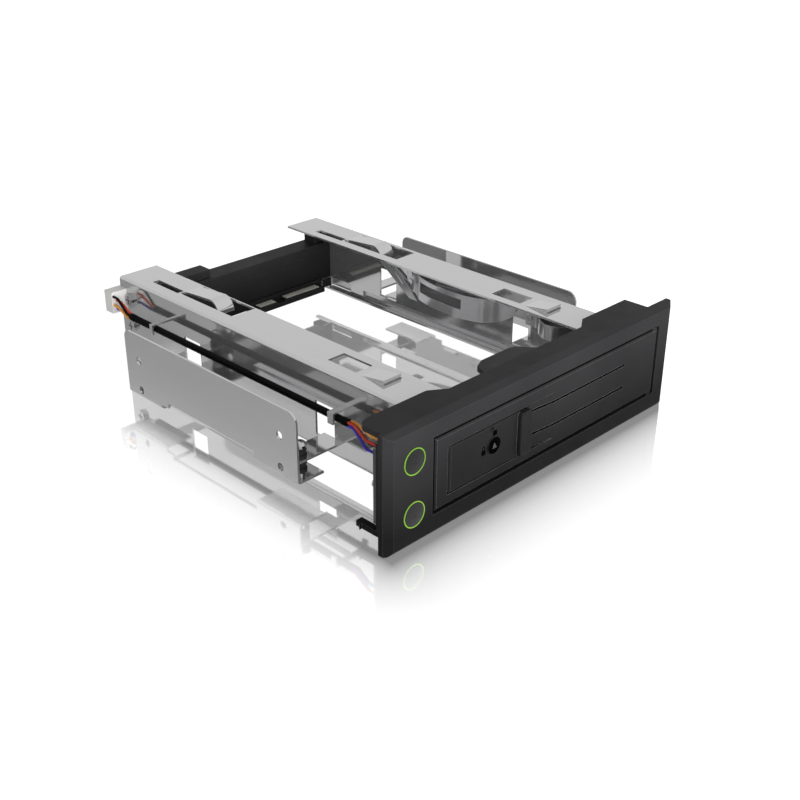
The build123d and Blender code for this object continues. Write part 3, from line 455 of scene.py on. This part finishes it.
def ring_between(shape, outer, inner, y0, y1):
    # A flat body between two outlines with as many points each
    rows = []
    for line, y in ((outer, y0), (outer, y1), (inner, y1), (inner, y0)):
        rows.append([shape.verts.new(at(x, y, z)) for x, z in line])
    join_rows(shape, rows)


def lock_circle(radius):
    last = 360 - 360 / CIRCLE_STEPS
    return arc(LOCK_X, LOCK_Z, radius, 0, last, CIRCLE_STEPS - 1)


def lock_face(materials):
    # Black face of the lock with a triangular key pin and a polished rim
    def face(shape):
        y0, y1 = BEZEL_FRONT - 0.16, BEZEL_FRONT - 0.1
        ring_between(shape, lock_circle(LOCK_FACE_R), lock_circle(0.1), y0, y1)
    new_piece("lock_face", face, materials["printed_black"], "lock")

    def rim(shape):
        profile = [(-0.02, 3.0), (-0.14, 3.05), (-0.16, 3.15), (-0.08, 3.3), (0.1, 3.3), (0.1, 3.0)]
        middle = BEZEL_FRONT - 0.12
        rows = []
        for along, radius in profile:
            ring = lock_circle(radius)
            rows.append([shape.verts.new(at(x, middle + along, z)) for x, z in ring])
        join_rows(shape, rows)
    new_piece("lock_rim", rim, materials["lock_metal"], "lock")

    def pin(shape):
        # Tapered, so that its sides catch the light
        wide = [(-1.4, -1.15), (1.4, -1.15), (-0.1, 1.55)]
        narrow = [(-0.95, -0.85), (1.0, -0.85), (-0.08, 1.0)]
        back = [shape.verts.new(at(LOCK_X + x, BEZEL_FRONT + 1.6, LOCK_Z + z)) for x, z in wide]
        front = [shape.verts.new(at(LOCK_X + x, BEZEL_FRONT - 0.5, LOCK_Z + z)) for x, z in narrow]
        shape.faces.new(back)
        shape.faces.new(list(reversed(front)))
        for i in range(3):
            j = (i + 1) % 3
            shape.faces.new((back[i], front[i], front[j], back[j]))
    piece = new_piece("key_pin", pin, materials["key_metal"], "lock")
    # Painted highlight: the left side face of the pin takes the brighter zinc material for the light it
    # catches
    piece.data.materials.append(materials["zinc_hardware"])
    piece.data.polygons[4].material_index = 1


def rounded_section(x0, x1, y0, y1, corner):
    # A rectangle with rounded corners in x and y
    points = []
    for x, y, start in ((x1, y1, 0), (x0, y1, 90), (x0, y0, 180), (x1, y0, 270)):
        way_x = 1 if x == x1 else -1
        way_y = 1 if y == y1 else -1
        points += arc(x - way_x * corner, y - way_y * corner, corner, start, start + 90, 4)
    return points


def add_stack(shape, sections):
    # Sections of the same number of points in x and y, one above the other
    rows = [[shape.verts.new(at(x, y, z)) for x, y in line] for z, line in sections]
    for low_row, high_row in zip(rows, rows[1:]):
        for i in range(len(low_row)):
            j = (i + 1) % len(low_row)
            shape.faces.new((low_row[i], low_row[j], high_row[j], high_row[i]))
    shape.faces.new(list(reversed(rows[0])))
    shape.faces.new(rows[-1])


def box_outline(x0, x1, z0, z1, centre, angles):
    # Where rays from the centre meet a rectangle
    def distance(low, high, middle, step):
        if abs(step) <= 1e-9:
            return 1e9
        return ((high if step > 0 else low) - middle) / step

    points = []
    for turn in angles:
        dx, dz = cos(turn), sin(turn)
        reach = min(distance(x0, x1, centre[0], dx), distance(z0, z1, centre[1], dz))
        points.append((centre[0] + dx * reach, centre[1] + dz * reach))
    return points


def handle_plate(materials):
    # Handle plate with the lock's hole, its finger bar, hinge barrel and nose
    low, high = LATCH_ZS
    left, front_y = LATCH_PIVOT
    centre = (LOCK_X, LOCK_Z)

    def make(shape):
        ends = [(x, z) for x in (left, LATCH_RIGHT) for z in (low, high)]
        corners = [atan2(z - LOCK_Z, x - LOCK_X) % (2 * pi) for x, z in ends]
        angles = sorted([2 * pi * i / 60 + 0.01 for i in range(60)] + corners)
        outer = box_outline(left, LATCH_RIGHT, low, high, centre, angles)
        inner = [(LOCK_X + LOCK_HOLE_R * cos(t), LOCK_Z + LOCK_HOLE_R * sin(t)) for t in angles]
        ring_between(shape, outer, inner, BEZEL_FRONT, LATCH_BACK)
        sections = []
        for i in range(9):
            turn = pi / 2 * i / 8
            inset = BAR_ROUND * (1 - sin(turn))
            rise = BAR_ROUND * (1 - cos(turn))
            sections.append((low + rise, inset))
        sections += [(low + high - z, inset) for z, inset in reversed(sections)]
        x0, x1 = BAR_XS
        bar = []
        for z, inset in sections:
            part = inset * 0.45
            front = BAR_FRONT + inset * 0.25
            bar.append((z, rounded_section(x0 + part, x1 - part, front, LATCH_BACK - 0.2, 0.75)))
        add_stack(shape, bar)
        turns = [2 * pi * i / 32 for i in range(32)]
        barrel = [(left + 1.1 * cos(turn), front_y + 1.1 * sin(turn)) for turn in turns]
        add_stack(shape, [(low, barrel), (high, barrel)])
        nose = [(left + 0.8, -3.4), (left + 0.8, 4.4), (left - 5.0, 4.4), (left - 5.0, 3.8),
                (left - 4.2, 3.0), (left - 0.8, 3.0), (left - 0.8, -3.4)]
        add_stack(shape, [(low + 4.3, nose), (high - 4.4, nose)])
    piece = new_piece("handle_plate", make, materials["handle_plastic"], "latch", 0.15)
    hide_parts("latch_handle")


def smooth_line(points, steps):
    # A smooth curve through the points
    padded = [points[0]] + list(points) + [points[-1]]
    line = []
    for p0, p1, p2, p3 in zip(padded, padded[1:], padded[2:], padded[3:]):
        for i in range(steps):
            t = i / steps
            spot = []
            for a, b, c, d in zip(p0, p1, p2, p3):
                spot.append(0.5 * (2 * b + (c - a) * t + (2 * a - 5 * b + 4 * c - d) * t * t
                                   + (3 * b - a - 3 * c + d) * t * t * t))
            line.append(tuple(spot))
    line.append(points[-1])
    return line


def add_ribbon(shape, line, low_edge, high, slot, thick):
    # A strip along a line in x and y, with a lower edge that may rise and a slot through it
    near = []
    far = []
    last = len(line) - 1
    for i, (x, y) in enumerate(line):
        ax, ay = line[max(i - 1, 0)]
        bx, by = line[min(i + 1, last)]
        length = sqrt((bx - ax) ** 2 + (by - ay) ** 2)
        nx, ny = (by - ay) / length, (ax - bx) / length
        low = low_edge(y)
        levels = [low, max(slot[2], low + 0.1), max(slot[3], low + 0.2), high]
        far.append([shape.verts.new(at(x, y, z)) for z in levels])
        near.append([shape.verts.new(at(x + nx * thick, y + ny * thick, z)) for z in levels])

    def solid(i, k):
        if not (0 <= i < last and 0 <= k < 3):
            return False
        middle = (line[i][1] + line[i + 1][1]) / 2
        return not (k == 1 and slot[0] < middle < slot[1])

    for i in range(last):
        for k in range(3):
            if not solid(i, k):
                continue
            shape.faces.new((near[i][k], near[i][k + 1], near[i + 1][k + 1], near[i + 1][k]))
            shape.faces.new((far[i][k], far[i + 1][k], far[i + 1][k + 1], far[i][k + 1]))
            for ni, nk, a, b in ((i - 1, k, (i, k), (i, k + 1)), (i + 1, k, (i + 1, k), (i + 1, k + 1)),
                                 (i, k - 1, (i, k), (i + 1, k)), (i, k + 1, (i, k + 1), (i + 1, k + 1))):
                if not solid(ni, nk):
                    shape.faces.new((near[a[0]][a[1]], far[a[0]][a[1]], far[b[0]][b[1]], near[b[0]][b[1]]))


def rounded_end(low, high, start, tip):
    # Lower edge of a leaf: level, then a quarter round up to its tip
    def edge(y):
        share = min(max((start - y) / (start - tip), 0.0), 1.0)
        return low + (high - 0.6 - low) * (1 - sqrt(max(0.0, 1 - share * share)))
    return edge


def leaf_springs(materials):
    # Bowed leaves with a rounded free end, riveted to the right wall at their rear
    wall = WALL_INNER
    points = [(wall, 110.6), (wall, 107.2), (wall - 0.8, 104.8), (wall - 2.6, 102.0), (wall - 4.9, 98.5),
              (wall - 6.9, 91.0), (wall - 7.6, 83.0), (wall - 7.5, 75.0), (wall - 5.9, 67.5),
              (wall - 2.9, 61.8), (wall - 0.7, 57.8), (wall - 0.02, 54.5), (wall, 51.0)]

    def long_leaf(shape):
        edge = rounded_end(20.8, 31.0, 67.0, 51.0)
        add_ribbon(shape, smooth_line(points, 6), edge, 31.0, (74.0, 98.0, 24.6, 29.0), LEAF_THICK)
    piece = new_piece("long_leaf", long_leaf, materials["spring_steel"], "cage")
    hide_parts("long_side_spring")
    short = [(wall, 46.2), (wall, 41.6), (wall - 1.0, 39.3), (wall - 3.6, 37.0), (wall - 5.6, 34.0),
             (wall - 6.1, 31.0), (wall - 4.7, 27.6), (wall - 1.9, 24.6), (wall - 0.2, 22.8), (wall, 21.0)]

    def short_leaf(shape):
        edge = rounded_end(24.6, 30.5, 30.0, 21.0)
        add_ribbon(shape, smooth_line(short, 6), edge, 30.5, (0.0, 0.0, 26.5, 28.5), LEAF_THICK)
    piece = new_piece("short_leaf", short_leaf, materials["spring_steel"], "cage")
    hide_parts("short_side_spring")


def sleeve_bands(materials):
    # Shrink bands over the two ends of the black sleeve
    r = SLEEVE_R
    profile = [(0, r - 0.3), (0.1, r + 0.02), (0.5, r + 0.09), (3.0, r + 0.09), (3.5, r + 0.01)]
    for name, y, way in (("front_band", SLEEVE_ENDS[0], 1), ("rear_band", SLEEVE_ENDS[1], -1)):
        def make(shape, y=y, way=way):
            add_lathe(shape, (SLEEVE_X, y, SLEEVE_Z), (0, way, 0), profile, 32)
        piece = new_piece(name, make, materials["sleeve_black"], "cage")
        for face in piece.data.polygons:
            face.use_smooth = True


def add_block(shape, x0, x1, z0, z1, y0, y1):
    add_prism(shape, [(x0, z0), (x1, z0), (x1, z1), (x0, z1)], y0, y1)


def chip(name, x, z, wide, high, board_y, legs, materials):
    # A small chip on the back of a board, with legs on two sides
    def body(shape):
        sides = (x - wide / 2, x + wide / 2, z - high / 2, z + high / 2)
        add_block(shape, *sides, board_y + 0.1, board_y + 1.1)
    new_piece(name, body, materials["connector_plastic"], "cage", 0.12)

    def pins(shape):
        # Each leg is a foot on the board and an upright against the chip
        pitch = high / legs
        half = 0.16
        for i in range(legs):
            middle = z - high / 2 + pitch * (i + 0.5)
            for side in (-1, 1):
                for reach, y0, y1 in ((0.7, 0, 0.2), (0.22, 0.2, 0.62)):
                    x0, x1 = sorted((x + side * wide / 2, x + side * (wide / 2 + reach)))
                    low, high_edge = middle - half, middle + half
                    add_block(shape, x0, x1, low, high_edge, board_y + y0, board_y + y1)
    new_piece(name + "_legs", pins, materials["zinc_hardware"], "cage")


def small_parts(name, places, board_y, materials):
    # Little resistors and capacitors: a body and two solder ends each
    def bodies(shape):
        for x, z in places:
            add_block(shape, x - 0.6, x + 0.6, z - 0.4, z + 0.4, board_y, board_y + 0.5)
    new_piece(name, bodies, materials["connector_plastic"], "cage", 0.08)

    def ends(shape):
        for x, z in places:
            for side in (-1, 1):
                x0, x1 = sorted((x + side * 0.55, x + side * 0.95))
                add_block(shape, x0, x1, z - 0.44, z + 0.44, board_y, board_y + 0.54)
    new_piece(name + "_ends", ends, materials["zinc_hardware"], "cage", 0.1)


def capacitors(materials):
    # Two cans with a scored top on the back of the rear board
    profile = [(0, 1.9), (0.9, 2.0), (1.0, 1.8), (1.2, 1.8), (1.35, 2.0), (4.0, 2.0), (4.3, 1.8)]
    for name, x in (("capacitor_left", -24.0), ("capacitor_right", -30.0)):
        def make(shape, x=x):
            add_lathe(shape, (x, BACKPLANE_BACK, 18.5), (0, 1, 0), profile, 36)
        new_piece(name, make, materials["zinc_hardware"], "cage")


def build_pieces(materials):
    padlock("padlock_open", LOCK_X + 0.35, LOCK_Z + 4.45, True, materials)
    padlock("padlock_closed", LOCK_X - 5.0, LOCK_Z - 1.0, False, materials)
    lock_face(materials)
    handle_plate(materials)
    leaf_springs(materials)
    sleeve_bands(materials)
    chip("front_chip", BUTTON_X, 16.4, 3.0, 3.2, BOARD_BACK, 4, materials)
    small_parts("front_parts", [(-68.6, 28.0), (-68.6, 25.4), (-57.6, 15.0), (-57.6, 12.6)],
                BOARD_BACK, materials)
    chip("rear_chip", -37.5, 17.5, 3.9, 4.9, BACKPLANE_BACK, 4, materials)
    rows = [(x, z) for x in (-42.5, 17.5, 20.5) for z in (13.0, 16.0, 19.0)]
    small_parts("rear_parts", rows, BACKPLANE_BACK, materials)
    capacitors(materials)


# Stage, lights and camera
def build_camera():
    a = radians(CAM_AZIMUTH)
    e = radians(CAM_ELEVATION)
    back = Vector((sin(a) * cos(e), -cos(a) * cos(e), sin(e)))
    right = Vector((cos(a), sin(a), 0))
    up = back.cross(right)
    roll = radians(CAM_ROLL)
    x_axis = right * cos(roll) + up * sin(roll)
    y_axis = up * cos(roll) - right * sin(roll)
    turned = Matrix((x_axis, y_axis, back)).transposed().to_4x4()
    camera = bpy.data.objects.new("camera", bpy.data.cameras.new("camera"))
    camera.matrix_world = Matrix.Translation(at(*CAM_TARGET) + back * CAM_DISTANCE * MM) @ turned
    camera.data.lens = CAM_LENS
    camera.data.clip_start = 0.01
    bpy.context.collection.objects.link(camera)
    bpy.context.scene.camera = camera


def area_light(name, place, target, wide, high, power):
    lamp = bpy.data.lights.new(name, "AREA")
    lamp.shape = "RECTANGLE"
    lamp.size = wide
    lamp.size_y = high
    lamp.energy = power
    lamp_object = bpy.data.objects.new(name, lamp)
    lamp_object.location = place
    lamp_object.visible_glossy = False
    aim = Vector(target) - Vector(place)
    lamp_object.rotation_euler = aim.to_track_quat("-Z", "Y").to_euler()
    bpy.context.collection.objects.link(lamp_object)


def build_lights():
    area_light("key", (-0.35, -1.05, 0.28), (0, 0, 0), 1.6, 0.5, 18.5)
    area_light("fill", (0.8, -0.8, 0.45), (0, 0, 0), 1.1, 0.9, 5.0)
    area_light("top", (0.1, 0.4, 1.0), (0, 0, 0), 0.9, 0.9, 1.0)
    world = bpy.data.worlds.new("studio")
    bpy.context.scene.world = world
    world.use_nodes = True
    tree = world.node_tree
    background = tree.nodes["Background"]
    background.inputs["Color"].default_value = (1, 1, 1, 1)
    paths = tree.nodes.new("ShaderNodeLightPath")
    seen = tree.nodes.new("ShaderNodeMath")
    seen.operation = "MAXIMUM"
    tree.links.new(paths.outputs["Is Camera Ray"], seen.inputs[0])
    tree.links.new(paths.outputs["Is Glossy Ray"], seen.inputs[1])
    strength = tree.nodes.new("ShaderNodeMapRange")
    strength.inputs["To Min"].default_value = 0.18
    strength.inputs["To Max"].default_value = 1.0
    tree.links.new(seen.outputs["Value"], strength.inputs["Value"])
    tree.links.new(strength.outputs["Result"], background.inputs["Strength"])


def footprint_distance(shader):
    # How far a point of the floor is from the object's rectangle
    outside = shader.node("ShaderNodeCombineXYZ")
    for name, half in (("X", cad_high[0]), ("Y", cad_high[1])):
        from_middle = shader.calculate("ABSOLUTE", shader.axis(shader.place, name))
        beyond = shader.calculate("SUBTRACT", from_middle, half)
        shader.link(shader.calculate("MAXIMUM", beyond, 0.0), outside.inputs[name])
    length = shader.node("ShaderNodeVectorMath", operation="LENGTH")
    shader.link(outside.outputs["Vector"], length.inputs[0])
    return length.outputs["Value"]


def polish_floor(shader):
    # White to the camera, with the object's shadow and a mirror image that fades out
    paths = shader.node("ShaderNodeLightPath")
    glow = shader.node("ShaderNodeEmission")
    distance = footprint_distance(shader)
    lift = shader.ramp(distance, FLOOR_LIFT, 1.0, 0.15, 1.0)
    lift = shader.calculate("MULTIPLY", paths.outputs["Is Camera Ray"], lift)
    shader.link(lift, glow.inputs["Strength"])
    lit = shader.node("ShaderNodeAddShader")
    shader.link(shader.surface.outputs["BSDF"], lit.inputs[0])
    shader.link(glow.outputs["Emission"], lit.inputs[1])
    mirror = shader.node("ShaderNodeBsdfGlossy")
    mirror.inputs["Color"].default_value = (1, 1, 1, 1)
    mirror.inputs["Roughness"].default_value = 0.04
    reach = shader.calculate("MULTIPLY_ADD", distance, 1 / MIRROR_REACH, 1.0)
    share = shader.calculate("DIVIDE", MIRROR_SHARE, reach)
    mixed = shader.node("ShaderNodeMixShader")
    shader.link(share, mixed.inputs["Fac"])
    shader.link(lit.outputs["Shader"], mixed.inputs[1])
    shader.link(mirror.outputs["BSDF"], mixed.inputs[2])
    out = shader.tree.nodes["Material Output"]
    shader.link(mixed.outputs["Shader"], out.inputs["Surface"])


def build_floor():
    mesh = bpy.data.meshes.new("floor")
    half = 4.0
    corners = [(-half, -half, 0), (half, -half, 0), (half, half, 0), (-half, half, 0)]
    mesh.from_pydata(corners, [], [(0, 1, 2, 3)])
    floor = bpy.data.objects.new("floor", mesh)
    floor.location.z = -0.0002
    bpy.context.collection.objects.link(floor)
    shader = Shader("floor_white")
    shader.set(Base_Color=(0.8, 0.8, 0.8, 1), Roughness=0.6, Specular_IOR_Level=0.0)
    polish_floor(shader)
    mesh.materials.append(shader.material)


bpy.context.scene.view_settings.view_transform = "Standard"
materials = build_materials()
dress_nodes(materials)
build_pieces(materials)
build_camera()
build_lights()
build_floor()
